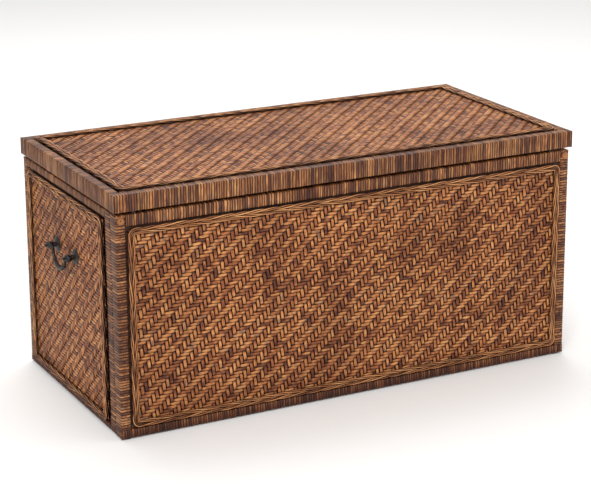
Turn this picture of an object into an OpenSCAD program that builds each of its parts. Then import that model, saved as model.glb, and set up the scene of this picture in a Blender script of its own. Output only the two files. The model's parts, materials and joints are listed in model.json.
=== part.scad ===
// Storage trunk: four wound timber frames with woven cane panels, a hinged lid
// and a drop bail at each end. Millimetres, +Z up, front towards -Y.
// The origin is on the floor, under the middle of the outer box.

/* [Body] */
// Length of the body, end to end
body_w = 892; // [760:4:1060]
// Depth of the body, front to back
body_d = 434; // [380:2:520]
// Height of the body's top edge above the floor
body_h = 394; // [330:2:470]
// Thickness of the front, back and end frames
frame_t = 26; // [22:1:30]
// Width of the front and back stiles
stile_w = 18; // [15:1:24]
// Width of the end frames' front stiles
end_stile_w = 23; // [18:1:30]
// Width of the end frames' back stiles, which form the trunk's back corners
corner_stile_w = 16; // [15:1:24]
// Height of the front and back top rails
top_rail_h = 21; // [16:1:28]
// Height of the end frames' top rails
end_top_rail_h = 15; // [12:1:24]
// Height of the front and back bottom rails
bottom_rail_h = 16; // [14:1:24]
// Height of the end frames' bottom rails
end_bottom_rail_h = 10; // [9:1:15]
// Thickness of the cane wound round every bar
binding_t = 1.5; // [1:0.1:2]

/* [Panels] */
// How far the weave lies below the face of its frame
recess = 1.5; // [1:0.5:5]
// Thickness of the woven cane
weave_t = 5; // [4:0.5:6]
// Thickness of the plywood behind the weave
board_t = 5; // [4:0.5:6]
// Width of the plaited braid round each panel
braid_w = 13; // [9:0.5:14]
// Thickness of the braid
braid_t = 5.5; // [4:0.5:7]
// Gap between a frame and its braid
braid_gap = 2; // [1:0.5:4]
// Gap between an end frame's stiles and its braid
end_braid_gap = 9; // [1:0.5:12]
// Corner radius of the braid
braid_r = 12; // [6:1:14]

/* [Floor] */
// Thickness of the floor board
floor_t = 8; // [6:1:12]
// Height of the battens under the floor board
batten_h = 7; // [5:1:9]
// Depth of each batten along the trunk
batten_w = 40; // [25:5:60]
// Radius of the nylon glides
glide_r = 10; // [8:1:12]
// Height of the glides below the frames
glide_h = 2; // [1.5:0.5:4]

/* [Lid] */
// Thickness of the lid frame
lid_t = 31; // [26:1:40]
// Gap between the body and the closed lid
lid_gap = 5; // [2:0.5:6]
// Overhang of the lid at the front and the ends
overhang = 4; // [2:0.5:8]
// Width of the lid's front and back rails
lid_rail_w = 20; // [16:1:28]
// Width of the lid's end rails
lid_end_w = 18; // [16:1:28]
// Radius of the rubber bumpers
bumper_r = 5; // [4:0.5:6]

/* [Handles] */
// Distance between the two posts of a bail
post_pitch = 86; // [76:1:100]
// Height of the posts above the floor
post_z = 271; // [230:1:290]
// Radius of each rosette
rosette_r = 15; // [12:0.5:18]
// Distance of the bail's pivot from the weave
pivot_out = 14; // [13:0.5:18]
// Radius of the bail's rod
bail_r = 3; // [2.5:0.1:3.5]
// Radius of the bail's thicker middle
grip_r = 4; // [3.5:0.1:5]
// Radius of the bail's half round
bow_r = 30; // [28:0.5:31]

/* [Hinges] */
// Distance of each hinge from the middle
hinge_x = 290; // [200:5:340]
// Length of each hinge
hinge_l = 60; // [45:1:80]
// Height of each leaf
leaf_h = 17; // [14:0.5:18]
// Radius of the knuckles
knuckle_r = 4; // [3.5:0.1:4]

/* [Hidden] */
$fn = 48;
eps = 0.01;
leaf_t = 2;
pin_r = 2;
running_gap = 0.05;
knuckle_gap = 0.5;
screw_r = 1.6;
screw_head_r = 3.1;
screw_head_t = 0.8;
hinge_screw_l = 14;
frame_screw_l = 38;
stud_r = 2.5;
nut_r = 5;
nut_t = 4;
eye_r = 6.5;
glide_nail_l = 9;
bumper_stand_off = 0.3;
bumper_in = 9;
end_mid = (frame_t + end_stile_w - corner_stile_w) / 2;
stud_clearance = 0.3;
dome_h = 5;
neck_r = 4.5;
finial_r = 2.6;
grip_angle = 80;

wall_d = knuckle_r * 2;
body_y = (overhang - wall_d) / 2;
half_w = body_w / 2;
half_d = body_d / 2;
lid_z = body_h + lid_gap;
lid_w = body_w + 2 * overhang;
lid_half_w = lid_w / 2;
lid_front = -half_d - overhang;
axis_y = half_d + knuckle_r;
axis_z = body_h + lid_gap / 2;
weave_x = half_w - recess;
pivot_x = weave_x + pivot_out;
floor_z = glide_h + batten_h;
frame_screw_z = [60, body_h / 2, body_h - 50];
hinge_screw_x = [-hinge_l * 0.36, 0, hinge_l * 0.36];

cane = "saddlebrown";
dark_cane = "sienna";
timber = "burlywood";
iron = "dimgray";

// A box between two opposite corners
module span_box(lo, hi) { translate(lo) cube(hi - lo); }

// The timber inside a wound bar. A bar is [low corner, high corner, low cover, high cover],
// and a cover holds 1 for each axis along which cane covers that side of the timber.
module timber_of(bar) {
  span_box(bar[0] + binding_t * bar[2], bar[1] - binding_t * bar[3]);
}

// The cane sleeve round a bar
module sleeve_of(bar) {
  difference() {
    span_box(bar[0], bar[1]);
    translate(-eps * ([1, 1, 1] - bar[2]))
      span_box(bar[0] + binding_t * bar[2],
        bar[1] - binding_t * bar[3] + eps * (([1, 1, 1] - bar[2]) + ([1, 1, 1] - bar[3])));
  }
}

front_stile_bar = [
  [-half_w, -half_d, glide_h + bottom_rail_h],
  [-half_w + stile_w, -half_d + frame_t, body_h],
  [1, 1, 0], [1, 1, 1]];
front_top_bar = [
  [-half_w + stile_w, -half_d, body_h - top_rail_h],
  [half_w - stile_w, -half_d + frame_t, body_h],
  [0, 1, 1], [0, 1, 1]];
front_bottom_bar = [
  [-half_w, -half_d, glide_h],
  [half_w, -half_d + frame_t, glide_h + bottom_rail_h],
  [1, 1, 1], [1, 1, 1]];
back_stile_bar = [
  [-half_w + frame_t, half_d - frame_t, glide_h + bottom_rail_h],
  [-half_w + frame_t + stile_w, half_d, body_h],
  [1, 1, 0], [1, 1, 1]];
back_top_bar = [
  [-half_w + frame_t + stile_w, half_d - frame_t, body_h - top_rail_h],
  [half_w - frame_t - stile_w, half_d, body_h],
  [0, 1, 1], [0, 1, 1]];
back_bottom_bar = [
  [-half_w + frame_t, half_d - frame_t, glide_h],
  [half_w - frame_t, half_d, glide_h + bottom_rail_h],
  [0, 1, 1], [0, 1, 1]];
end_front_bar = [
  [-half_w, -half_d + frame_t, glide_h + end_bottom_rail_h],
  [-half_w + frame_t, -half_d + frame_t + end_stile_w, body_h],
  [1, 1, 0], [1, 1, 1]];
end_back_bar = [
  [-half_w, half_d - corner_stile_w, glide_h + end_bottom_rail_h],
  [-half_w + frame_t, half_d, body_h],
  [1, 1, 0], [1, 1, 1]];
end_top_bar = [
  [-half_w, -half_d + frame_t + end_stile_w, body_h - end_top_rail_h],
  [-half_w + frame_t, half_d - corner_stile_w, body_h],
  [1, 0, 1], [1, 0, 1]];
end_bottom_bar = [
  [-half_w, -half_d + frame_t, glide_h],
  [-half_w + frame_t, half_d, glide_h + end_bottom_rail_h],
  [1, 0, 1], [1, 1, 1]];
lid_front_bar = [
  [-lid_half_w, lid_front, lid_z],
  [lid_half_w, lid_front + lid_rail_w, lid_z + lid_t],
  [1, 1, 1], [1, 1, 1]];
lid_back_bar = [
  [-lid_half_w, half_d - lid_rail_w, lid_z],
  [lid_half_w, half_d, lid_z + lid_t],
  [1, 1, 1], [1, 1, 1]];
lid_end_bar = [
  [-lid_half_w, lid_front + lid_rail_w, lid_z],
  [-lid_half_w + lid_end_w, half_d - lid_rail_w, lid_z + lid_t],
  [1, 0, 1], [1, 0, 1]];

// Holes for the screws that join the end frames to the front frame and the back frame
module frame_screw_set(r) {
  for (right = [0, 1], z = frame_screw_z) mirror([right, 0, 0]) {
    translate([-half_w + stile_w / 2, -half_d + binding_t, z])
      rotate([-90, 0, 0]) cylinder(r = r, h = frame_screw_l);
    translate([-half_w + binding_t, half_d - corner_stile_w / 2, z])
      rotate([0, 90, 0]) cylinder(r = r, h = frame_screw_l);
  }
}

// Hinge screws along -Y from the back face, at one height
module hinge_screw_set(r, z, l) {
  for (side = [-1, 1], dx = hinge_screw_x)
    translate([side * hinge_x + dx, half_d + leaf_t, z])
      rotate([90, 0, 0]) cylinder(r = r, h = l);
}

module glide_nail_set(r) {
  for (sx = [-1, 1], sy = [-1, 1])
    translate([sx * (half_w - frame_t / 2), sy * (half_d - frame_t / 2), glide_h])
      cylinder(r = r, h = glide_nail_l);
}

body_leaf_z = body_h - leaf_h / 2 - 1;
lid_leaf_z = lid_z + leaf_h / 2 + 1;

module in_place() { translate([0, body_y, 0]) children(); }

// Turns a piece made for the left over to the right
module flip(right) { mirror([right, 0, 0]) children(); }

// Everything that is screwed or nailed into the body's frames, as holes
module body_holes() {
  frame_screw_set(screw_r);
  glide_nail_set(screw_r);
  hinge_screw_set(screw_r, body_leaf_z, hinge_screw_l + leaf_t);
}

module body_timber(bar, right) {
  color(timber) in_place() difference() {
    flip(right) timber_of(bar);
    body_holes();
  }
}

module lid_timber(bar, right) {
  color(timber) in_place() difference() {
    flip(right) timber_of(bar);
    hinge_screw_set(screw_r, lid_leaf_z, hinge_screw_l + leaf_t);
  }
}

// The cane on the front frame, or on the back frame
module long_binding(stile, top, bottom) {
  color(cane) in_place() difference() {
    union() {
      sleeve_of(top);
      sleeve_of(bottom);
      for (right = [0, 1]) flip(right) sleeve_of(stile);
    }
    body_holes();
  }
}

// The cane on the left end's frame, or on the right end's
module end_binding(right) {
  color(cane) in_place() difference() {
    flip(right) for (bar = [end_top_bar, end_bottom_bar, end_front_bar, end_back_bar]) sleeve_of(bar);
    body_holes();
  }
}

module lid_binding() {
  color(cane) in_place() difference() {
    union() {
      sleeve_of(lid_front_bar);
      sleeve_of(lid_back_bar);
      for (right = [0, 1]) flip(right) sleeve_of(lid_end_bar);
    }
    hinge_screw_set(screw_r, lid_leaf_z, hinge_screw_l + leaf_t);
  }
}

// Openings of the frames: [low corner, high corner] in the panel's own plane
front_opening = [
  [-half_w + stile_w, glide_h + bottom_rail_h],
  [half_w - stile_w, body_h - top_rail_h]];
back_opening = [
  [-half_w + frame_t + stile_w, glide_h + bottom_rail_h],
  [half_w - frame_t - stile_w, body_h - top_rail_h]];
end_opening = [
  [-half_d + frame_t + end_stile_w, glide_h + end_bottom_rail_h],
  [half_d - corner_stile_w, body_h - end_top_rail_h]];
lid_opening = [
  [-lid_half_w + lid_end_w, lid_front + lid_rail_w],
  [lid_half_w - lid_end_w, half_d - lid_rail_w]];

module flat_panel(opening, t) {
  size = opening[1] - opening[0];
  translate([opening[0].x, opening[0].y, 0]) cube([size.x, size.y, t]);
}

// A rectangle with round corners, inset from an opening by different amounts across and up
module round_rect(opening, inset, r) {
  lo = opening[0] + inset + [r, r];
  hi = opening[1] - inset - [r, r];
  for (x = [lo.x, hi.x], y = [lo.y, hi.y]) translate([x, y]) circle(r);
  translate([lo.x, lo.y - r]) square([hi.x - lo.x, hi.y - lo.y + 2 * r]);
  translate([lo.x - r, lo.y]) square([hi.x - lo.x + 2 * r, hi.y - lo.y]);
}

module braid_ring(opening, side_gap) {
  gaps = [side_gap, braid_gap];
  linear_extrude(braid_t) difference() {
    round_rect(opening, gaps, braid_r);
    translate((opening[0] + opening[1]) / 2)
      square(opening[1] - opening[0] - 2 * (gaps + [braid_w, braid_w]), center = true);
  }
}

// Turns a shape drawn flat, outer face up, to stand on the front, the back or the left end.
// Depth 0 is the frame's face and positive depth goes inwards.
module on_long(back, depth) {
  mirror([0, back, 0]) translate([0, -half_d + depth, 0]) rotate([90, 0, 0]) children();
}
module on_left(depth) {
  translate([-half_w + depth, 0, 0]) rotate([90, 0, -90]) mirror([1, 0, 0]) children();
}

long_openings = [front_opening, back_opening];
post_y = [end_mid - post_pitch / 2, end_mid + post_pitch / 2];

// A panel layer on the front or the back, from its depth below the frame's face
module long_slab(back, depth, t) {
  in_place() on_long(back, depth + t) flat_panel(long_openings[back], t);
}

// Holes through an end panel for the studs of the handle
module stud_holes() {
  for (y = post_y)
    translate([-half_w, y, post_z]) rotate([0, 90, 0]) cylinder(r = stud_r + stud_clearance, h = frame_t);
}

module end_slab(right, depth, t) {
  in_place() flip(right) difference() {
    on_left(depth + t) flat_panel(end_opening, t);
    stud_holes();
  }
}

module long_weave(back) { color(dark_cane) long_slab(back, recess, weave_t); }
module long_board(back) { color(timber) long_slab(back, recess + weave_t, board_t); }
module long_braid(back) {
  color(cane) in_place() on_long(back, recess) braid_ring(long_openings[back], braid_gap);
}
module end_weave(right) { color(dark_cane) end_slab(right, recess, weave_t); }
module end_board(right) { color(timber) end_slab(right, recess + weave_t, board_t); }
module end_braid(right) {
  color(cane) in_place() flip(right) on_left(recess) braid_ring(end_opening, end_braid_gap);
}

module floor_board() {
  color(timber) in_place() span_box(
    [-half_w + frame_t, -half_d + frame_t, floor_z],
    [half_w - frame_t, half_d - frame_t, floor_z + floor_t]);
}

module floor_battens() {
  color(timber) in_place() for (x = [-half_w * 0.6, 0, half_w * 0.6])
    span_box(
      [x - batten_w / 2, -half_d + frame_t, glide_h],
      [x + batten_w / 2, half_d - frame_t, floor_z]);
}

module frame_screws() { color(iron) in_place() frame_screw_set(screw_r); }

module glides() {
  color("black") in_place() {
    for (sx = [-1, 1], sy = [-1, 1])
      translate([sx * (half_w - frame_t / 2), sy * (half_d - frame_t / 2), 0])
        cylinder(r = glide_r, h = glide_h);
    glide_nail_set(screw_r);
  }
}

// A domed rosette with its post, drilled eye, finial and stud, standing on Z
module rosette() {
  dome_r = (rosette_r * rosette_r + dome_h * dome_h) / (2 * dome_h);
  stud_l = weave_t + board_t + nut_t + 1;
  difference() {
    union() {
      intersection() {
        translate([0, 0, dome_h - dome_r]) sphere(r = dome_r, $fn = 96);
        translate([-rosette_r, -rosette_r, 0]) cube([2 * rosette_r, 2 * rosette_r, pivot_out]);
      }
      cylinder(r = neck_r, h = pivot_out);
      translate([0, 0, pivot_out]) sphere(r = eye_r);
      translate([0, 0, pivot_out]) cylinder(r = finial_r * 0.7, h = eye_r + finial_r);
      translate([0, 0, pivot_out + eye_r + finial_r * 0.6]) sphere(r = finial_r);
      translate([0, 0, -stud_l]) cylinder(r = stud_r, h = stud_l + 1);
    }
    translate([0, -eye_r - 1, pivot_out]) rotate([-90, 0, 0])
      cylinder(r = bail_r + running_gap, h = 2 * eye_r + 2);
  }
}

module rosettes(right) {
  color(iron) in_place() flip(right) for (y = post_y)
    translate([-weave_x, y, post_z]) rotate([0, -90, 0]) rosette();
}

module nuts(right) {
  color(iron) in_place() flip(right) for (y = post_y)
    translate([-weave_x + weave_t + board_t, y, post_z]) rotate([0, 90, 0]) difference() {
      cylinder(r = nut_r, h = nut_t, $fn = 6);
      translate([0, 0, -1]) cylinder(r = stud_r, h = nut_t + 2, $fn = 48);
    }
}

// A half round of rod, thicker at the grip, hanging from two pins that turn in the eyes
module bail(right) {
  pin_end = post_pitch / 2 + eye_r + 1.5;
  color(iron) in_place() flip(right) translate([-pivot_x, end_mid, post_z]) {
    rotate([-90, 0, 90]) {
      rotate_extrude(angle = 180) translate([bow_r, 0]) circle(r = bail_r);
      rotate([0, 0, 90 - grip_angle / 2]) rotate_extrude(angle = grip_angle)
        translate([bow_r, 0]) circle(r = grip_r);
    }
    for (side = [0, 1]) mirror([0, side, 0]) {
      translate([0, bow_r, 0]) sphere(r = bail_r);
      translate([0, bow_r, 0]) rotate([-90, 0, 0]) cylinder(r = bail_r, h = pin_end - bow_r);
      translate([0, pin_end, 0]) rotate([-90, 0, 0]) cylinder(r = bail_r + 1, h = 1.5);
    }
  }
}

middle_l = hinge_l * 0.4;
outer_l = (hinge_l - middle_l) / 2 - knuckle_gap;
body_knuckles = [[-hinge_l / 2, outer_l], [hinge_l / 2 - outer_l, outer_l]];
lid_knuckles = [[-middle_l / 2, middle_l]];

// A round bar along the hinge's axis, from x, l long
module on_axis(x, l, r) { translate([x, axis_y, axis_z]) rotate([0, 90, 0]) cylinder(r = r, h = l); }

// Both hinges' leaves of one side, cut away round the other side's knuckles
module leaves(z_lo, z_hi, own, others, screw_z) {
  in_place() for (side = [-1, 1]) translate([side * hinge_x, 0, 0]) difference() {
    union() {
      difference() {
        span_box([-hinge_l / 2, half_d, z_lo], [hinge_l / 2, half_d + leaf_t, z_hi]);
        for (k = others) on_axis(k[0] - knuckle_gap, k[1] + 2 * knuckle_gap, knuckle_r + knuckle_gap);
      }
      for (k = own) {
        on_axis(k[0], k[1], knuckle_r);
        span_box(
          [k[0], half_d + knuckle_gap, min(axis_z, z_lo)],
          [k[0] + k[1], half_d + leaf_t, max(axis_z, z_hi)]);
      }
    }
    on_axis(-hinge_l, 2 * hinge_l, pin_r + running_gap);
    for (dx = hinge_screw_x) translate([dx, half_d + leaf_t + 1, screw_z])
      rotate([90, 0, 0]) cylinder(r = screw_r, h = leaf_t + 2);
  }
}

module hinge_body_leaves() {
  color(iron) leaves(body_h - leaf_h, body_h, body_knuckles, lid_knuckles, body_leaf_z);
}

module hinge_lid_leaves() {
  color(iron) leaves(lid_z, lid_z + leaf_h, lid_knuckles, body_knuckles, lid_leaf_z);
}

module hinge_pins() {
  color("silver") in_place() for (side = [-1, 1]) translate([side * hinge_x, 0, 0]) {
    on_axis(-hinge_l / 2, hinge_l, pin_r);
    for (x = [-hinge_l / 2 - 1, hinge_l / 2]) on_axis(x, 1, pin_r + 1);
  }
}

module hinge_screws(z) {
  color("silver") in_place() {
    hinge_screw_set(screw_r, z, hinge_screw_l + leaf_t);
    translate([0, screw_head_t, 0]) hinge_screw_set(screw_head_r, z, screw_head_t);
  }
}

// A layer of the lid's panel, from its depth below the frame's top
module lid_slab(depth, t) {
  in_place() translate([0, 0, lid_z + lid_t - depth - t]) flat_panel(lid_opening, t);
}

module lid_weave() { color(dark_cane) lid_slab(recess, weave_t); }
module lid_board() { color(timber) lid_slab(recess + weave_t, board_t); }
module lid_braid() {
  color(cane) in_place() translate([0, 0, lid_z + lid_t - recess]) braid_ring(lid_opening, braid_gap);
}

module lid_bumpers() {
  color("black") in_place() for (sx = [-1, 1], y = [-half_d + bumper_in, half_d - bumper_in])
    translate([sx * (half_w - frame_t - bumper_in), y, body_h + bumper_stand_off])
      cylinder(r = bumper_r, h = lid_gap - bumper_stand_off);
}

body_timber(front_stile_bar, 0);  // front_left_stile
body_timber(front_stile_bar, 1);  // front_right_stile
body_timber(front_top_bar, 0);  // front_top_rail
body_timber(front_bottom_bar, 0);  // front_bottom_rail
body_timber(back_stile_bar, 0);  // back_left_stile
body_timber(back_stile_bar, 1);  // back_right_stile
body_timber(back_top_bar, 0);  // back_top_rail
body_timber(back_bottom_bar, 0);  // back_bottom_rail
body_timber(end_front_bar, 0);  // left_front_stile
body_timber(end_back_bar, 0);  // left_back_stile
body_timber(end_top_bar, 0);  // left_top_rail
body_timber(end_bottom_bar, 0);  // left_bottom_rail
body_timber(end_front_bar, 1);  // right_front_stile
body_timber(end_back_bar, 1);  // right_back_stile
body_timber(end_top_bar, 1);  // right_top_rail
body_timber(end_bottom_bar, 1);  // right_bottom_rail
long_binding(front_stile_bar, front_top_bar, front_bottom_bar);  // front_binding
long_binding(back_stile_bar, back_top_bar, back_bottom_bar);  // back_binding
end_binding(0);  // left_binding
end_binding(1);  // right_binding
long_weave(0);  // front_weave
long_weave(1);  // back_weave
end_weave(0);  // left_weave
end_weave(1);  // right_weave
long_braid(0);  // front_braid
long_braid(1);  // back_braid
end_braid(0);  // left_braid
end_braid(1);  // right_braid
long_board(0);  // front_board
long_board(1);  // back_board
end_board(0);  // left_board
end_board(1);  // right_board
floor_board();
floor_battens();
frame_screws();
glides();
rosettes(0);  // left_rosettes
rosettes(1);  // right_rosettes
nuts(0);  // left_nuts
nuts(1);  // right_nuts
hinge_body_leaves();
hinge_pins();
hinge_screws(body_leaf_z);  // hinge_body_screws
lid_timber(lid_front_bar, 0);  // lid_front_rail
lid_timber(lid_back_bar, 0);  // lid_back_rail
lid_timber(lid_end_bar, 0);  // lid_left_rail
lid_timber(lid_end_bar, 1);  // lid_right_rail
lid_binding();
lid_board();
lid_weave();
lid_braid();
lid_bumpers();
hinge_lid_leaves();
hinge_screws(lid_leaf_z);  // hinge_lid_screws
bail(0);  // left_bail
bail(1);  // right_bail
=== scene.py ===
import bmesh
import bpy
import itertools
import json
import math
import numpy as np
from mathutils import Matrix, Vector


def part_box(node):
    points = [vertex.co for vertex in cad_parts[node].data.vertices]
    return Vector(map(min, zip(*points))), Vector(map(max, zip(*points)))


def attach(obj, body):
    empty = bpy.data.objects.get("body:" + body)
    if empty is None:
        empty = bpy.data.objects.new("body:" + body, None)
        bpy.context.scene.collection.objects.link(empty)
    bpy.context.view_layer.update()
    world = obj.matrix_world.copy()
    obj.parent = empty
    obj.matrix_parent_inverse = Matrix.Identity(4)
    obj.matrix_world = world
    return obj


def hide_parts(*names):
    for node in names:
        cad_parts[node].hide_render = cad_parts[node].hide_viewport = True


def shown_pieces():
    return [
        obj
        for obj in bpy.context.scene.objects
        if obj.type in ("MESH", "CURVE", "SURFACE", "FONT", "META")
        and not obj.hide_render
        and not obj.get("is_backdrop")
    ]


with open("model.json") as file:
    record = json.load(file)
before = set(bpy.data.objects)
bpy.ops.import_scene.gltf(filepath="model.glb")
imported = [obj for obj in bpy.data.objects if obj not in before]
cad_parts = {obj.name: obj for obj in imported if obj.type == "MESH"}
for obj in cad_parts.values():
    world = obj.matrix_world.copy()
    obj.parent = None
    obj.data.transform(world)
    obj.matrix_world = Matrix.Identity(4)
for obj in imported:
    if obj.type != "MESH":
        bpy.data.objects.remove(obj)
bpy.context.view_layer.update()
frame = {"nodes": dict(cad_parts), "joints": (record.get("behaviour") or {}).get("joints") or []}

mm = 0.001
chance = np.random.default_rng(7)


def linearColour(hexColour):
    # sRGB hex to the linear numbers that the shader wants
    parts = [int(hexColour[i:i + 2], 16) / 255 for i in (1, 3, 5)]
    return [p / 12.92 if p <= 0.04045 else ((p + 0.055) / 1.055) ** 2.4 for p in parts] + [1.0]


def addNode(tree, kind, settings=None, inputs=None, stops=()):
    # one node: its settings, its sockets (each a value or another node's output), and a ramp's colours
    node = tree.nodes.new(kind)
    for name, value in (settings or {}).items():
        setattr(node, name, value)
    for socket, value in (inputs or {}).items():
        if isinstance(value, bpy.types.NodeSocket):
            tree.links.new(value, node.inputs[socket])
        else:
            node.inputs[socket].default_value = value
    for spare in stops[2:]:
        node.color_ramp.elements.new(0.5)
    for place, (position, colour) in enumerate(stops):
        node.color_ramp.elements[place].position = position
        node.color_ramp.elements[place].color = linearColour(colour)
    return node


def newMaterial(name, shaderInputs):
    material = bpy.data.materials.new(name)
    material.use_nodes = True
    tree = material.node_tree
    tree.nodes.clear()
    shader = addNode(tree, "ShaderNodeBsdfPrincipled", inputs=shaderInputs)
    addNode(tree, "ShaderNodeOutputMaterial", inputs={"Surface": shader.outputs["BSDF"]})
    return material, tree, shader


multiply = {"data_type": "RGBA", "blend_type": "MULTIPLY"}   # for nodes that multiply one colour by another

# how each use of the cane is dyed; lengths in metres, colours before the crevices are darkened by stain and
# painted shade
caneLooks = {
    "woven": {
        "shades": [
            (0.22, "#5c3626"), (0.37, "#8c5434"), (0.5, "#b27344"), (0.62, "#d4965c"), (0.8, "#967058")],
        "shadeLength": 0.02, "ownShade": 0.25,
        "cloudSize": 0.16, "clouds": [(0.3, "#c2b4ae"), (0.55, "#ffffff")],
        "fibres": 3.0, "fibreDark": "#b48c74", "stainAndShade": (0.64, 0.93), "stainAndShadeColour": "#2a1009",
        "roughness": 0.48, "bump": 0.35},
    "wound": {
        "shades": [
            (0.2, "#5e3828"), (0.38, "#8a583a"), (0.52, "#b27849"), (0.66, "#ca905c"), (0.82, "#8a6650")],
        "shadeLength": 0.05, "ownShade": 0.45,
        "cloudSize": 0.12, "clouds": [(0.3, "#b9aaa4"), (0.55, "#ffffff")],
        "fibres": 2.0, "fibreDark": "#b08e78", "stainAndShade": (0.2, 0.98), "stainAndShadeColour": "#1e0b06",
        "roughness": 0.46, "bump": 0.4},
    "plaited": {
        "shades": [
            (0.2, "#7c5036"), (0.38, "#ac7448"), (0.5, "#c88c5a"), (0.64, "#dea46e"), (0.8, "#a87e5a")],
        "shadeLength": 0.06, "ownShade": 0.4,
        "cloudSize": 0.12, "clouds": [(0.3, "#c2b4ae"), (0.55, "#ffffff")],
        "fibres": 1.5, "fibreDark": "#c8a890", "stainAndShade": (0.57, 0.97), "stainAndShadeColour": "#1a0804",
        "roughness": 0.45, "bump": 0.3},
}
# what all cane shares
caneFinish = {
    "specular": 0.22,         # the lacquer is worn
    "coat": 0.03,
    "coatRoughness": 0.35,
    "shadeStep": 17.3,        # how far apart in the noise two strands take their shades
    "fibreStep": 5.7,         # and their fibres
    "fibreChanges": 60.0,     # how often the fibres change, per metre of strand
    "fibreDepth": 0.25 * mm,
}
floorShade = {"from": 0.006, "to": 0.03, "colour": "#a08478"}   # heights between which the painted shade near the floor fades out


# Split and round cane, dyed brown and rubbed back under lacquer: pale on the crests, and dark in the crevices
# from stain together with painted shade.
# It reads two attributes: strand is (number, place across, metres along), and relief goes from 0 in a crevice
# to 1 on a crest.
def caneMaterial(name, look):
    material, tree, shader = newMaterial(name, {
        "Roughness": look["roughness"], "Specular IOR Level": caneFinish["specular"],
        "Coat Weight": caneFinish["coat"], "Coat Roughness": caneFinish["coatRoughness"]})
    strand = addNode(tree, "ShaderNodeAttribute", {"attribute_name": "strand"})
    parts = addNode(tree, "ShaderNodeSeparateXYZ", inputs={0: strand.outputs["Vector"]})
    number = addNode(tree, "ShaderNodeMath", {"operation": "FLOOR"}, {0: parts.outputs[0]}).outputs[0]
    relief = addNode(tree, "ShaderNodeAttribute", {"attribute_name": "relief"}).outputs["Fac"]
    place = addNode(tree, "ShaderNodeTexCoord").outputs["Object"]

    # a strand keeps its shade for a few centimetres
    apart = addNode(
        tree, "ShaderNodeMath", {"operation": "MULTIPLY"}, {0: number, 1: caneFinish["shadeStep"]})
    along = addNode(
        tree, "ShaderNodeMath", {"operation": "DIVIDE"}, {0: parts.outputs[2], 1: look["shadeLength"]})
    shadePlace = addNode(tree, "ShaderNodeCombineXYZ", inputs={0: apart.outputs[0], 1: along.outputs[0]})
    strandShade = addNode(tree, "ShaderNodeTexNoise", {"noise_dimensions": "2D"}, {
        "Vector": shadePlace.outputs[0], "Scale": 1.0, "Detail": 1.0, "Roughness": 0.6})
    ownShade = addNode(tree, "ShaderNodeTexWhiteNoise", {"noise_dimensions": "1D"}, {"W": number})
    shade = addNode(tree, "ShaderNodeMix", inputs={
        0: look["ownShade"], 2: strandShade.outputs["Fac"], 3: ownShade.outputs["Value"]})
    colour = addNode(tree, "ShaderNodeValToRGB", inputs={"Fac": shade.outputs[0]}, stops=look["shades"])

    # cloudy dye, about a hand wide
    cloud = addNode(tree, "ShaderNodeTexNoise", inputs={
        "Vector": place, "Scale": 1 / look["cloudSize"], "Detail": 3.0, "Roughness": 0.6})
    cloudShade = addNode(
        tree, "ShaderNodeValToRGB", inputs={"Fac": cloud.outputs["Fac"]}, stops=look["clouds"])
    colour = addNode(tree, "ShaderNodeMix", multiply, {
        0: 1.0, 6: colour.outputs[0], 7: cloudShade.outputs[0]})

    # painted shade low down: the cane is darker towards the floor
    height = addNode(tree, "ShaderNodeSeparateXYZ", inputs={0: place})
    floorShading = addNode(tree, "ShaderNodeMapRange", inputs={
        "Value": height.outputs[2], "From Min": floorShade["from"], "From Max": floorShade["to"],
        "To Min": 1.0, "To Max": 0.0})
    colour = addNode(tree, "ShaderNodeMix", multiply, {
        0: floorShading.outputs[0], 6: colour.outputs[2], 7: linearColour(floorShade["colour"])})

    # fibres along the strand, drawn about a millimetre wide, coarser than real ones so that they show
    across = addNode(
        tree, "ShaderNodeMath", {"operation": "MULTIPLY"}, {0: parts.outputs[1], 1: look["fibres"]})
    lengthways = addNode(tree, "ShaderNodeMath", {"operation": "MULTIPLY"}, {
        0: parts.outputs[2], 1: caneFinish["fibreChanges"]})
    other = addNode(
        tree, "ShaderNodeMath", {"operation": "MULTIPLY"}, {0: number, 1: caneFinish["fibreStep"]})
    fibrePlace = addNode(tree, "ShaderNodeCombineXYZ", inputs={
        0: across.outputs[0], 1: lengthways.outputs[0], 2: other.outputs[0]})
    fibre = addNode(tree, "ShaderNodeTexNoise", inputs={
        "Vector": fibrePlace.outputs[0], "Scale": 1.0, "Detail": 2.0})
    fibreShade = addNode(
        tree, "ShaderNodeValToRGB", inputs={"Fac": fibre.outputs["Fac"]},
        stops=[(0.32, look["fibreDark"]), (0.6, "#ffffff")])
    colour = addNode(tree, "ShaderNodeMix", multiply, {
        0: 1.0, 6: colour.outputs[2], 7: fibreShade.outputs[0]})

    # dark stain left in the crevices, together with painted shade there
    stainAndShadeMask = addNode(tree, "ShaderNodeMapRange", {"interpolation_type": "SMOOTHSTEP"}, {
        "Value": relief, "From Min": look["stainAndShade"][0], "From Max": look["stainAndShade"][1]})
    colour = addNode(tree, "ShaderNodeMix", {"data_type": "RGBA"}, {
        0: stainAndShadeMask.outputs[0], 6: linearColour(look["stainAndShadeColour"]), 7: colour.outputs[2]})
    bump = addNode(tree, "ShaderNodeBump", inputs={
        "Height": fibre.outputs["Fac"], "Distance": caneFinish["fibreDepth"], "Strength": look["bump"]})
    tree.links.new(colour.outputs[2], shader.inputs["Base Color"])
    tree.links.new(bump.outputs["Normal"], shader.inputs["Normal"])
    return material


caneMaterials = {kind: caneMaterial(kind + "Cane", look) for kind, look in caneLooks.items()}


wood = {
    "specular": 0.4,
    "ringsAskew": 0.6,        # how crooked the growth rings are
    "poreScale": 6.0,         # how much finer the pores are than the rings
    "poreDark": "#b49a86",
    "poreDepth": 0.2 * mm,
    "poreStrength": 0.4,
}


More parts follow.
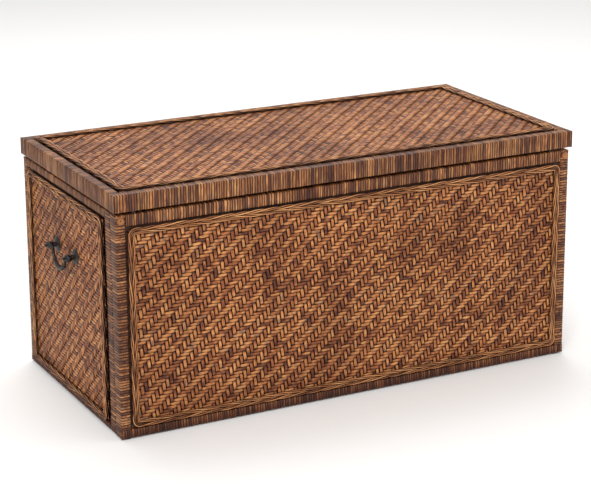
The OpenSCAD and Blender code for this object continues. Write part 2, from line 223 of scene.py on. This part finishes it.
# Planed beech or stained plywood: growth rings drawn out along the grain, and finer pores. grain is how many
# rings are crossed in a metre along each axis.
def woodMaterial(name, dark, light, grain, roughness):
    material, tree, shader = newMaterial(name, {
        "Roughness": roughness, "Specular IOR Level": wood["specular"]})
    place = addNode(tree, "ShaderNodeTexCoord").outputs["Object"]
    drawn = addNode(tree, "ShaderNodeMapping", inputs={"Vector": place, "Scale": grain}).outputs["Vector"]
    rings = addNode(tree, "ShaderNodeTexNoise", inputs={
        "Vector": drawn, "Scale": 1.0, "Detail": 4.0, "Distortion": wood["ringsAskew"]})
    pores = addNode(tree, "ShaderNodeTexNoise", inputs={
        "Vector": drawn, "Scale": wood["poreScale"], "Detail": 2.0})
    colour = addNode(
        tree, "ShaderNodeValToRGB", inputs={"Fac": rings.outputs["Fac"]},
        stops=[(0.35, dark), (0.6, light)])
    poreShade = addNode(
        tree, "ShaderNodeValToRGB", inputs={"Fac": pores.outputs["Fac"]},
        stops=[(0.35, wood["poreDark"]), (0.5, "#ffffff")])
    colour = addNode(tree, "ShaderNodeMix", multiply, {
        0: 1.0, 6: colour.outputs[0], 7: poreShade.outputs[0]})
    bump = addNode(tree, "ShaderNodeBump", inputs={
        "Height": pores.outputs["Fac"], "Distance": wood["poreDepth"], "Strength": wood["poreStrength"]})
    tree.links.new(colour.outputs[2], shader.inputs["Base Color"])
    tree.links.new(bump.outputs["Normal"], shader.inputs["Normal"])
    return material


grainDepth = 0.15 * mm


# Metal or moulded plastic: a fine grain in the surface and a slower change of tone, both in changes per metre
def finishedMaterial(name, look):
    material, tree, shader = newMaterial(name, {"Metallic": look["metallic"], "Specular IOR Level": 0.5})
    place = addNode(tree, "ShaderNodeTexCoord").outputs["Object"]
    grain = addNode(tree, "ShaderNodeTexNoise", inputs={
        "Vector": place, "Scale": look["grain"], "Detail": 3.0})
    tone = addNode(tree, "ShaderNodeTexNoise", inputs={
        "Vector": place, "Scale": look["tone"], "Detail": 2.0})
    colour = addNode(
        tree, "ShaderNodeValToRGB", inputs={"Fac": tone.outputs["Fac"]},
        stops=[(0.4, look["colours"][0]), (0.62, look["colours"][1])])
    roughness = addNode(tree, "ShaderNodeMapRange", inputs={
        "Value": grain.outputs["Fac"], "To Min": look["roughness"][0], "To Max": look["roughness"][1]})
    bump = addNode(tree, "ShaderNodeBump", inputs={
        "Height": grain.outputs["Fac"], "Distance": grainDepth, "Strength": look["bump"]})
    tree.links.new(colour.outputs[0], shader.inputs["Base Color"])
    tree.links.new(roughness.outputs[0], shader.inputs["Roughness"])
    tree.links.new(bump.outputs["Normal"], shader.inputs["Normal"])
    return material


# pale planed beech, its grain along the rails or up the stiles
beech = woodMaterial("beechTimber", "#9c7048", "#c69a6c", (6.0, 90.0, 90.0), 0.6)
uprightBeech = woodMaterial("beechTimberUpright", "#9c7048", "#c69a6c", (90.0, 90.0, 6.0), 0.6)
# dark stained plywood, which shows between strands and inside the trunk
plywood = woodMaterial("stainedPlywood", "#2c180f", "#4a2c1c", (5.0, 45.0, 45.0), 0.55)
# blackened cast iron, waxed, brown where hands rub it
iron = finishedMaterial("blackenedIron", {
    "colours": ("#14100f", "#2e2420"), "metallic": 0.3, "roughness": (0.34, 0.55),
    "grain": 900.0, "tone": 90.0, "bump": 0.5})
# antiqued zinc plate on steel
zinc = finishedMaterial("zincPlatedSteel", {
    "colours": ("#9a9a96", "#c4c4be"), "metallic": 1.0, "roughness": (0.28, 0.42),
    "grain": 900.0, "tone": 400.0, "bump": 0.1})
# black nylon from a polished mould, faintly glossy
nylon = finishedMaterial("mouldedNylon", {
    "colours": ("#1c1a19", "#262322"), "metallic": 0.0, "roughness": (0.45, 0.55),
    "grain": 1500.0, "tone": 300.0, "bump": 0.3})
# black rubber, dull
rubber = finishedMaterial("mouldedRubber", {
    "colours": ("#1a1817", "#22201f"), "metallic": 0.0, "roughness": (0.7, 0.8),
    "grain": 1500.0, "tone": 300.0, "bump": 0.3})
print("materials made")


class Layers:
    # the two vertex attributes that cane materials read
    def __init__(self, bm):
        self.strand = bm.verts.layers.float_vector.new("strand")
        self.relief = bm.verts.layers.float.new("relief")


def rollTubes(bm, layers, rings, strand, relief, looped=False):
    # rings is (tubes, steps, sides, 3). A grid has a band of sides + 1 columns for each tube: the faces
    # between bands are deleted, each band is rolled up and its first and last columns are welded.
    tubes, steps, sides = rings.shape[:3]
    rows = steps + 1 if looped else steps
    columns = tubes * (sides + 1)
    firstFace = len(bm.faces)
    made = bmesh.ops.create_grid(bm, x_segments=columns - 1, y_segments=rows - 1, size=1.0)["verts"]
    bm.faces.ensure_lookup_table()
    gaps = [f for i, f in enumerate(bm.faces[firstFace:]) if i % (columns - 1) % (sides + 1) == sides]
    bmesh.ops.delete(bm, geom=gaps, context="FACES")

    side = np.append(np.arange(sides), 0)
    row = np.append(np.arange(steps), 0) if looped else np.arange(steps)

    def spread(values):
        # from (tubes, steps, sides, n) to the grid's order, each band ending in its first column again
        return values[:, row][:, :, side].transpose(1, 0, 2, 3).reshape(-1, values.shape[-1]).tolist()

    places, tags, heights = spread(rings), spread(strand), spread(relief[..., None])
    for vert, place, tag, height in zip(made, places, tags, heights):
        vert.co = place
        if layers:
            vert[layers.strand] = tag
            vert[layers.relief] = height[0]

    target = {}
    for r in range(rows):
        for t in range(tubes):
            start = r * columns + t * (sides + 1)
            target[made[start + sides]] = made[start]
    if looped:
        for c in range(columns):
            seam = c % (sides + 1) == sides
            target[made[(rows - 1) * columns + c]] = made[c - sides if seam else c]
    else:
        for t in range(tubes):
            start = t * (sides + 1)
            end = (rows - 1) * columns + start
            bm.faces.new([made[start + s] for s in range(sides)])
            bm.faces.new([made[end + s] for s in reversed(range(sides))])
    bmesh.ops.weld_verts(bm, targetmap=target)


def newBmesh():
    bm = bmesh.new()
    return bm, Layers(bm)


def finishPiece(name, bm, material, body, replaced=()):
    bmesh.ops.recalc_face_normals(bm, faces=bm.faces[:])
    mesh = bpy.data.meshes.new(name)
    bm.to_mesh(mesh)
    bm.free()
    mesh.shade_smooth()
    piece = bpy.data.objects.new(name, mesh)
    bpy.context.scene.collection.objects.link(piece)
    mesh.materials.append(material)
    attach(piece, body)
    if replaced:
        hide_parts(*replaced)
    return piece


class Panel:
    # a panel's own axes: right, up and out, with height 0 on the outer face of its CAD weave
    def __init__(self, name, right, up):
        low, high = (np.array(corner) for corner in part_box(name + "_weave"))
        self.name = name
        self.axes = np.array([right, up, np.cross(right, up)], float)
        size = np.abs(self.axes @ (high - low))
        self.width, self.height = size[:2]
        self.centre = (low + high) / 2 + self.axes[2] * size[2] / 2
        low, high = (np.array(corner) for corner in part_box(name + "_braid"))
        self.border = np.abs(self.axes @ (high - low))[:2]     # the plaited border, out to out
        self.gaps = (size[:2] - self.border) / 2               # between the frame and the border

    def place(self, points):
        return self.centre + points @ self.axes


panels = [
    Panel("front", (1, 0, 0), (0, 0, 1)),
    Panel("back", (-1, 0, 0), (0, 0, 1)),
    Panel("left", (0, -1, 0), (0, 0, 1)),
    Panel("right", (0, 1, 0), (0, 0, 1)),
    Panel("lid", (1, 0, 0), (0, 1, 0)),
]


def bodyOf(panelName):
    return "lid" if panelName == "lid" else "chest"


# woven panels: three over, three under, each row a strand to the right of the one below
weave = {
    "pitch": {                         # mm between uprights, and between crossways strands
        "front": (6.6, 5.64), "back": (6.6, 5.64), "left": (6.55, 6.07), "right": (6.55, 6.07),
        "lid": (6.3, 6.3)},
    "period": 6,                       # crossings in one over and under
    "start": (4, 1),                   # the first strand's place in that, uprights and crossways
    "lift": 1.25 * mm,                 # how far a strand rises over and dives under
    "squareness": 1.4,                 # how flat its floats are
    "uneven": 0.1,                     # how much one strand's height differs, as a share of the lift
    "thickness": 1.8 * mm,
    "cover": (0.9, 0.95),              # a strand's width over its pitch, uprights and crossways
    "widths": (0.92, 1.05),            # how that varies from strand to strand
    "dived": 0.86,                     # how much narrower it is at a dive
    "lean": (0.75 * mm, 0.35 * mm),    # how far a float leans, uprights and crossways
    "wobble": 0.3 * mm,
    "wobbleLengths": (31 * mm, 83 * mm),
    "underBorder": 2.5 * mm,           # how far the strands reach under the border
    "crosswaysFrom": 500,              # number of the first crossways strand, above any upright's
}
# a strand's section, as shares of its width and thickness, from underneath round to the right
strandSection = np.array([(0, -0.5), (0.5, -0.15), (0.37, 0.42), (-0.37, 0.42), (-0.5, -0.15)])


def weaveStrands(panel, upright):
    sizes = np.array([panel.width, panel.height])
    counts = np.round(sizes / mm / weave["pitch"][panel.name]).astype(int)
    reach = sizes / 2 - panel.gaps - weave["underBorder"]
    across, along = (0, 1) if upright else (1, 0)
    pitch, otherPitch = sizes[across] / counts[across], sizes[along] / counts[along]
    number = np.arange(counts[across])[:, None]
    middle = (number + 0.5) * pitch - sizes[across] / 2
    kept = np.abs(middle[:, 0]) < reach[across]
    number, middle = number[kept], middle[kept]
    count, steps = len(number), 2 * counts[along] + 1

    distance = np.linspace(0, sizes[along], steps)[None, :]
    crossing = distance / otherPitch - 0.5
    turn = 2 * math.pi / weave["period"]
    shift = number - crossing if upright else crossing - number
    phase = (shift - weave["start"][across]) * turn
    square = weave["squareness"]
    wave = np.tanh(square * np.cos(phase)) / math.tanh(square)
    wobble = np.zeros_like(wave)
    for length in weave["wobbleLengths"]:
        start = chance.uniform(0, 2 * math.pi, (count, 1))
        wobble += weave["wobble"] / 2 * np.sin(distance * 2 * math.pi / length + start)
    lateral = middle + wobble + weave["lean"][across] * np.sin(phase)
    height = weave["lift"] * (wave + weave["uneven"] * chance.uniform(-1, 1, (count, 1)))
    width = pitch * weave["cover"][across] * chance.uniform(*weave["widths"], (count, 1))
    width = width * (weave["dived"] + (1 - weave["dived"]) * np.clip(wave, 0, 1))
    ends = np.clip(distance - sizes[along] / 2, -reach[along], reach[along])

    thickness = weave["thickness"]
    shape = (count, steps, len(strandSection))
    rise = height[..., None] + thickness * strandSection[:, 1]
    local = np.zeros(shape + (3,))
    local[..., across] = lateral[..., None] + width[..., None] * strandSection[:, 0]
    local[..., along] = np.broadcast_to(ends[..., None], shape)
    local[..., 2] = rise - weave["lift"] - thickness / 2

    tags = np.zeros(shape + (3,))
    tags[..., 0] = number[..., None] + 0.5 + (0 if upright else weave["crosswaysFrom"])
    tags[..., 1] = np.broadcast_to(strandSection[:, 0] * 2, shape)
    tags[..., 2] = np.broadcast_to(distance[..., None], shape)
    # low parts of a strand, at its sides and where it dives, get the crevice stain and painted shade
    relief = np.clip((rise / (weave["lift"] + thickness / 2) + 1) / 2, 0, 1)
    return panel.place(local), tags, relief


for panel in panels:
    for upright, suffix in ((True, "uprights"), (False, "crossways")):
        bm, layers = newBmesh()
        rollTubes(bm, layers, *weaveStrands(panel, upright))
        replaced = [panel.name + "_weave"] if upright else []
        finishPiece(
            f"{panel.name}_weave_{suffix}", bm, caneMaterials["woven"], bodyOf(panel.name),
            replaced)
print("panels woven")


# plaited borders round the edges of the panels: two ropes side by side, twisted opposite ways
plait = {
    "rodsInRope": 3,
    "rod": 1.3 * mm,          # a rod's radius
    "ropePitch": 6.4 * mm,    # between the two ropes
    "swing": 1.9 * mm,        # how far a rod swings to each side of its rope
    "rise": 1.5 * mm,         # and up and down
    "repeat": 84 * mm,        # length of one twist
    "radii": (0.92, 1.06),    # how the radius varies from rod to rod
    "drift": 0.2 * mm,        # how far a rod strays from its helix
    "clearance": 0.2 * mm,    # under the lowest rod
    "shadeAndDepthShares": (0.66, 0.34),   # how far painted shade on a rod's underside and its height in the rope count as relief
    "corner": 7 * mm,         # radius of the middle line at a corner
    "step": 4 * mm,
    "cornerSteps": 5,
    "sides": 6,
}


def roundedLoop(halfWidth, halfHeight, radius):
    # points and outward directions along a rounded rectangle, and the distance along it
    spots, outwards = [], []
    for corner, (cx, cy) in enumerate([(1, -1), (1, 1), (-1, 1), (-1, -1)]):
        centre = np.array([cx * (halfWidth - radius), cy * (halfHeight - radius)])
        for turn in np.linspace(corner * 90 - 90, corner * 90, plait["cornerSteps"]):
            outward = np.array([math.cos(math.radians(turn)), math.sin(math.radians(turn))])
            spots.append(centre + radius * outward)
            outwards.append(outward)
        straight = 2 * ((halfHeight if corner % 2 == 0 else halfWidth) - radius)
        forward = np.array([-outward[1], outward[0]])
        pieces = round(straight / plait["step"])
        last = spots[-1]
        for share in np.arange(1, pieces) / pieces:
            spots.append(last + forward * straight * share)
            outwards.append(outward)
    spots, outwards = np.array(spots), np.array(outwards)
    lengths = np.linalg.norm(np.roll(spots, -1, 0) - spots, axis=1)
    return spots, outwards, np.append(0, np.cumsum(lengths)[:-1]), lengths.sum()


def plaitBorder(panel):
    reach = plait["ropePitch"] / 2 + plait["swing"] + plait["rod"]
    spots, outwards, distance, total = roundedLoop(*(panel.border / 2 - reach), plait["corner"])
    twists = round(total / plait["repeat"])
    middle = plait["rise"] + plait["rod"] + plait["clearance"]
    angles = np.arange(plait["sides"]) * 2 * math.pi / plait["sides"]
    undersideShadeShare, heightShare = plait["shadeAndDepthShares"]
    rings, tags, reliefs = [], [], []
    for rod in range(2 * plait["rodsInRope"]):
        rope, which = divmod(rod, plait["rodsInRope"])
        hand = 2 * rope - 1
        phase = 2 * math.pi * (twists * distance / total + which / plait["rodsInRope"])
        # a rod strays in three or more slow waves round the panel, each rod in its own
        drift = plait["drift"] * np.sin(2 * math.pi * (3 + rod) * distance / total + rod)
        lateral = hand * (plait["ropePitch"] / 2 + plait["swing"] * np.cos(phase)) + drift
        height = middle + plait["rise"] * np.sin(phase)
        radius = plait["rod"] * chance.uniform(*plait["radii"])
        sideways = lateral[:, None] + radius * np.cos(angles)
        local = np.zeros((len(spots), len(angles), 3))
        local[..., :2] = spots[:, None, :] + outwards[:, None, :] * sideways[..., None]
        local[..., 2] = height[:, None] + radius * np.sin(angles)
        tag = np.zeros_like(local)
        tag[..., 0] = rod + 0.5
        tag[..., 1] = np.cos(angles)
        tag[..., 2] = distance[:, None]
        rings.append(panel.place(local))
        tags.append(tag)
        lifted = np.clip(local[..., 2] / (2 * middle), 0, 1)
        # painted shade on each rod's underside, and stain with painted shade the lower it lies in the rope
        reliefs.append(undersideShadeShare * (0.5 + 0.5 * np.sin(angles)) + heightShare * lifted)
    return np.array(rings), np.array(tags), np.array(reliefs)


for panel in panels:
    bm, layers = newBmesh()
    rollTubes(bm, layers, *plaitBorder(panel), looped=True)
    finishPiece(
        panel.name + "_braid_rods", bm, caneMaterials["plaited"], bodyOf(panel.name),
        [panel.name + "_braid"])
print("borders plaited")


# wound bars: one strip after another round the timber
winding = {
    "pitch": 4.8 * mm,
    "uneven": 0.25,           # how much one turn's width differs from the next
    "groove": 0.9 * mm,
    "corner": 2.6 * mm,
    "cornerSteps": 3,
    "stray": 0.35 * mm,       # how far a turn strays from square
    "lump": 0.25 * mm,
    "roundest": 0.9,          # share of a thin bar's half width that its corners may take
    "cap": 3.0 * mm,          # thickness of the turns laid over a bar's end
    "numbersApart": 1000,     # between one bar's first turn and the next bar's
}
turnProfile = ((0.0, 0.0), (0.16, 0.72), (0.5, 1.0), (0.84, 0.72))   # share of a turn, share of its height
barNumbers = itertools.count()


def wind(bm, layers, low, high, axis):
    # winds cane along one axis of the box between low and high
    low, high = np.array(low, float), np.array(high, float)
    a, b = [i for i in range(3) if i != axis]
    length = high[axis] - low[axis]
    turns = max(1, round(length / winding["pitch"]))
    widths = chance.uniform(1 - winding["uneven"], 1 + winding["uneven"], turns)
    edges = np.append(0, np.cumsum(widths)) * length / widths.sum()
    lumps = chance.uniform(0, winding["lump"], turns)
    stations, heights, numbers = [], [], []
    for turn in range(turns):
        for share, height in turnProfile:
            stations.append(edges[turn] + share * (edges[turn + 1] - edges[turn]))
            heights.append(height - lumps[turn] / winding["groove"] if height else 0.0)
            numbers.append(turn + share)
    stations.append(length)
    heights.append(0.0)
    numbers.append(turns - 0.001)     # still the last turn
    stations, heights, numbers = np.array(stations), np.array(heights), np.array(numbers)

    # the section: a rounded rectangle, starting on its low side so that the seam faces in
    half = np.array([high[a] - low[a], high[b] - low[b]]) / 2
    radius = min(winding["corner"], half.min() * winding["roundest"])
    section = []
    for corner, (ca, cb) in enumerate([(1, -1), (1, 1), (-1, 1), (-1, -1)]):
        for turn in np.linspace(corner * 90 - 90, corner * 90, winding["cornerSteps"]):
            out = np.array([math.cos(math.radians(turn)), math.sin(math.radians(turn))])
            section.append((np.array([ca, cb]) * (half - radius), out))
    middle = np.array([low[a] + high[a], low[b] + high[b]]) / 2
    depth = winding["groove"] * (1 - heights)
    rings = np.zeros((len(stations), len(section), 3))
    tags = np.zeros_like(rings)
    walked = 0.0
    before = None
    strays = chance.uniform(-1, 1, (turns + 1, len(section))) * winding["stray"]
    strays[0] = strays[-1] = 0
    turnOf = np.minimum((numbers + 0.5).astype(int), turns)
    for k, (centre, out) in enumerate(section):
        place = middle + centre + radius * out
        rings[:, k, a] = place[0] - out[0] * depth
        rings[:, k, b] = place[1] - out[1] * depth
        rings[:, k, axis] = low[axis] + stations + strays[turnOf, k]
        walked += 0.0 if before is None else float(np.linalg.norm(place - before))
        before = place
        tags[:, k, 2] = walked
    rings[0, :, axis] = low[axis]
    rings[-1, :, axis] = high[axis]
    tags[..., 0] = numbers[:, None] + winding["numbersApart"] * next(barNumbers)
    tags[..., 1] = (numbers % 1 * 2 - 1)[:, None]
    # the grooves between turns get the crevice stain and painted shade
    relief = np.repeat(np.clip(heights, 0, 1)[:, None], len(section), 1)
    rollTubes(bm, layers, rings[None], tags[None], relief[None])


# a strip stands this far out from the timber
stripThickness = (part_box("front_left_stile")[0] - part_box("front_binding")[0]).x


def woundBox(node, axis, lowEnd, highEnd):
    # the timber's box, grown by the cane's thickness round its axis and past each open end
    low, high = (np.array(corner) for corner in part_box(node))
    low, high = low - stripThickness, high + stripThickness
    if not lowEnd:
        low[axis] += stripThickness
    if not highEnd:
        high[axis] -= stripThickness
    return low, high


def windCapped(bm, layers, low, high, axis, capped, capAxis):
    # winds a bar. Each end in capped, -1 low or 1 high, has its own turns laid over it along another axis.
    innerLow, innerHigh = low.copy(), high.copy()
    for sign in capped:
        capLow, capHigh = low.copy(), high.copy()
        if sign < 0:
            capHigh[axis] = low[axis] + winding["cap"]
            innerLow[axis] = low[axis] + winding["cap"] / 2
        else:
            capLow[axis] = high[axis] - winding["cap"]
            innerHigh[axis] = high[axis] - winding["cap"] / 2
        wind(bm, layers, capLow, capHigh, capAxis)
    wind(bm, layers, innerLow, innerHigh, axis)


for side in ("front", "back"):
    bm, layers = newBmesh()
    for hand in ("left", "right"):
        windCapped(bm, layers, *woundBox(f"{side}_{hand}_stile", 2, 0, 1), 2, (1,), 0)
    wind(bm, layers, *woundBox(f"{side}_top_rail", 0, 0, 0), 0)
    # only the front's bottom rail runs through to the trunk's corners
    through = side == "front"
    windCapped(
        bm, layers, *woundBox(f"{side}_bottom_rail", 0, through, through), 0, (-1, 1) if through else (), 2)
    finishPiece(
        f"{side}_binding_turns", bm, caneMaterials["wound"], "chest", [f"{side}_binding"])

for side in ("left", "right"):
    bm, layers = newBmesh()
    for end in ("front", "back"):
        windCapped(bm, layers, *woundBox(f"{side}_{end}_stile", 2, 0, 1), 2, (1,), 1)
    wind(bm, layers, *woundBox(f"{side}_top_rail", 1, 0, 0), 1)
    windCapped(bm, layers, *woundBox(f"{side}_bottom_rail", 1, 0, 1), 1, (1,), 2)
    finishPiece(
        f"{side}_binding_turns", bm, caneMaterials["wound"], "chest", [f"{side}_binding"])

bm, layers = newBmesh()
for side in ("front", "back"):
    windCapped(bm, layers, *woundBox(f"lid_{side}_rail", 0, 1, 1), 0, (-1, 1), 1)
for side in ("left", "right"):
    wind(bm, layers, *woundBox(f"lid_{side}_rail", 1, 0, 0), 1)
finishPiece("lid_binding_turns", bm, caneMaterials["wound"], "lid", ["lid_binding"])

# the cane's end, coiled flat on the top of each front and back stile
coil = {
    "rod": 1.1 * mm,
    "turns": 3.0,
    "inner": 1.2 * mm,
    "outer": 6.4 * mm,
    "proud": 0.3 * mm,        # how far its middle stands off the wound face
    "steps": 48,
    "sides": 6,
}


def coilRings(centre, right, out):
    share = np.linspace(0, 1, coil["steps"])
    turn = share * coil["turns"] * 2 * math.pi
    radius = coil["inner"] + share * (coil["outer"] - coil["inner"])
    spoke = np.outer(np.cos(turn), right) + np.outer(np.sin(turn), (0, 0, 1))
    angles = np.arange(coil["sides"]) * 2 * math.pi / coil["sides"]
    offset = spoke[:, None, :] * np.cos(angles)[:, None] + np.array(out) * np.sin(angles)[:, None]
    rings = centre + spoke[:, None, :] * radius[:, None, None] + coil["rod"] * offset
    tags = np.zeros_like(rings)
    tags[..., 0] = 0.5
    tags[..., 1] = np.cos(angles)
    tags[..., 2] = (turn * radius)[:, None]
    # painted shade: each rod of the coil is darker on the side against the bar
    return rings[None], tags[None], np.broadcast_to(0.5 + 0.5 * np.sin(angles), rings.shape[:2])[None]


for side, out in (("front", (0, -1, 0)), ("back", (0, 1, 0))):
    bm, layers = newBmesh()
    for hand in ("left", "right"):
        low, high = (np.array(corner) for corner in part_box(f"{side}_{hand}_stile"))
        centre = (low + high) / 2
        face = low[1] if side == "front" else high[1]
        centre[1] = face + out[1] * (stripThickness + coil["proud"])
        centre[2] = high[2] - coil["outer"] - coil["rod"]
        rollTubes(bm, layers, *coilRings(centre, (1, 0, 0), out))
    finishPiece(f"{side}_binding_coils", bm, caneMaterials["wound"], "chest")
print("bars wound")


bailShape = {
    "pin": 3 * mm,            # radius of the pins that turn in the eyes
    "pinHead": 4 * mm,        # and of their riveted heads
    "headWidth": 1.2 * mm,
    "headSlope": 0.3 * mm,
    "sides": 16,
    "rod": 2.7 * mm,
    "grip": 4.3 * mm,
    "bead": 4.4 * mm,
    "beadWidth": 3.2 * mm,
    "beadAngle": 47,          # degrees from the lowest point
    "gripAngle": 34,
    "bend": 4 * mm,           # radius between a pin and the bow
    "bendRod": 2.9 * mm,
    "bendAngles": (60, 30),
    "bowAngle": 82,           # where the bow meets the bends, from the lowest point
    "bowSteps": 42,
    "belowBow": 4 * mm,       # from the bow's middle line to the bail's lowest point
}


def bailPath(pinEnd, bow):
    # from one pin, down round the bow and up to the other pin: y, z and radius
    bend, pin, pinHead = bailShape["bend"], bailShape["pin"], bailShape["pinHead"]
    headEnd = -pinEnd + bailShape["headWidth"]
    path = [(-pinEnd, 0, pinHead), (headEnd, 0, pinHead), (headEnd + bailShape["headSlope"], 0, pin),
            (-bow - bend, 0, pin)]
    for turn in bailShape["bendAngles"]:
        path.append((-bow - bend + bend * math.cos(math.radians(turn)),
                     -bend + bend * math.sin(math.radians(turn)), bailShape["bendRod"]))
    for turn in np.linspace(-bailShape["bowAngle"], 0, bailShape["bowSteps"]):
        radius = bailShape["rod"]
        if abs(turn) < bailShape["gripAngle"]:
            share = math.cos(turn / bailShape["gripAngle"] * math.pi / 2) ** 0.5
            radius += (bailShape["grip"] - radius) * share
        off = (abs(turn) - bailShape["beadAngle"]) / 180 * math.pi * bow / (bailShape["beadWidth"] / 2)
        if abs(off) < 1:
            radius = max(radius, bailShape["bead"] * math.sqrt(1 - off * off))
        path.append((bow * math.sin(math.radians(turn)), -bow * math.cos(math.radians(turn)), radius))
    mirrored = [(-y, z, r) for y, z, r in reversed(path[:-1])]
    return np.array(path + mirrored)


def bailRings(centre, pinEnd, bow):
    path = bailPath(pinEnd, bow)
    ahead = np.gradient(path[:, :2], axis=0)
    ahead /= np.linalg.norm(ahead, axis=1)[:, None]
    angles = np.arange(bailShape["sides"]) * 2 * math.pi / bailShape["sides"]
    rings = np.zeros((len(path), len(angles), 3))
    rings[..., 0] = path[:, 2:] * np.cos(angles)
    rings[..., 1] = path[:, :1] - ahead[:, 1:] * path[:, 2:] * np.sin(angles)
    rings[..., 2] = path[:, 1:2] + ahead[:, :1] * path[:, 2:] * np.sin(angles)
    return rings + np.array(centre)


for side in ("left", "right"):
    low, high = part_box(side + "_bail")
    joint = next(j for j in frame["joints"] if j["child"] == side + "_bail")
    centre = Vector(joint["pos_m"])
    bow = centre.z - low.z - bailShape["belowBow"]
    rings = bailRings(centre, (high.y - low.y) / 2, bow)[None]
    bm = bmesh.new()
    rollTubes(bm, None, rings, np.zeros_like(rings), np.zeros(rings.shape[:3]))
    finishPiece(side + "_bail_cast", bm, iron, side + "_bail", [side + "_bail"])
print("bails made")


# the CAD's own nodes that stay in view
nodeFinish = {
    iron: [
        "left_rosettes", "right_rosettes", "left_nuts", "right_nuts",
        "hinge_body_leaves", "hinge_lid_leaves"],
    zinc: ["frame_screws", "hinge_pins", "hinge_body_screws", "hinge_lid_screws"],
    nylon: ["glides"],
    rubber: ["lid_bumpers"],
    plywood: ["front_board", "back_board", "left_board", "right_board", "floor_board", "lid_board"],
}
for material, names in nodeFinish.items():
    for name in names:
        mesh = frame["nodes"][name].data
        mesh.materials.clear()
        mesh.materials.append(material)
for name, node in frame["nodes"].items():
    if name.endswith("_stile") or name.endswith("_rail") or name == "floor_battens":
        node.data.materials.clear()
        node.data.materials.append(uprightBeech if name.endswith("_stile") else beech)


studio = {
    "floorHalf": 8.0,
    "floorColour": "#f4f3f1",
    "worldColour": "#ffffff", "worldStrength": 0.75,
    "lights": {                     # place, aim and size in metres, power in watts
        "softboxKey": ((-2.0, -3.1, 2.6), (0.0, 0.0, 0.2), 2.0, 102),
        "softboxTop": ((0.4, 1.6, 2.8), (0.0, 0.0, 0.4), 2.6, 55),
        "softboxFill": ((3.2, -1.8, 1.6), (0.0, 0.0, 0.2), 1.8, 15),
    },
}

bm = bmesh.new()
bmesh.ops.create_grid(bm, x_segments=1, y_segments=1, size=studio["floorHalf"])
floorMesh = bpy.data.meshes.new("studioFloor")
bm.to_mesh(floorMesh)
bm.free()
studioFloor = bpy.data.objects.new("studioFloor", floorMesh)
bpy.context.scene.collection.objects.link(studioFloor)
# matt painted board
floorMaterial = newMaterial(
    "paintedFloor", {"Base Color": linearColour(studio["floorColour"]), "Roughness": 0.9})[0]
floorMesh.materials.append(floorMaterial)
studioFloor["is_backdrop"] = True

world = bpy.data.worlds.new("studio")
bpy.context.scene.world = world
world.use_nodes = True
world.node_tree.nodes["Background"].inputs["Color"].default_value = linearColour(studio["worldColour"])
world.node_tree.nodes["Background"].inputs["Strength"].default_value = studio["worldStrength"]

for name, (place, aim, size, power) in studio["lights"].items():
    light = bpy.data.lights.new(name, "AREA")
    light.size, light.energy = size, power
    lamp = bpy.data.objects.new(name, light)
    lamp.location = place
    lamp.rotation_euler = (Vector(aim) - Vector(place)).to_track_quat("-Z", "Y").to_euler()
    bpy.context.scene.collection.objects.link(lamp)

view = {
    "place": (-1.6210, -3.1233, 1.3303),
    "heading": 62.603, "tilt": -15.998, "roll": -0.281,   # degrees, heading from +X
    "lens": 122.1, "shiftUp": -0.1007, "farthest": 50,
}
cameraData = bpy.data.cameras.new("camera")
cameraData.lens = view["lens"]
cameraData.shift_y = view["shiftUp"]
cameraData.clip_end = view["farthest"]
camera = bpy.data.objects.new("camera", cameraData)
turnUp = Matrix.Rotation(math.radians(90 + view["tilt"]), 4, "X")
heading = Matrix.Rotation(math.radians(view["heading"] - 90), 4, "Z")
roll = Matrix.Rotation(math.radians(view["roll"]), 4, "Z")
camera.matrix_world = Matrix.Translation(view["place"]) @ heading @ turnUp @ roll
bpy.context.scene.collection.objects.link(camera)
bpy.context.scene.camera = camera
bpy.context.scene.view_settings.view_transform = "Standard"
print("studio set")

triangles = {
    piece.name: sum(len(face.vertices) - 2 for face in piece.data.polygons)
    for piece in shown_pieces() if piece.type == "MESH"}
biggest = max(triangles, key=triangles.get)
print("triangles", sum(triangles.values()), "most", biggest, triangles[biggest])
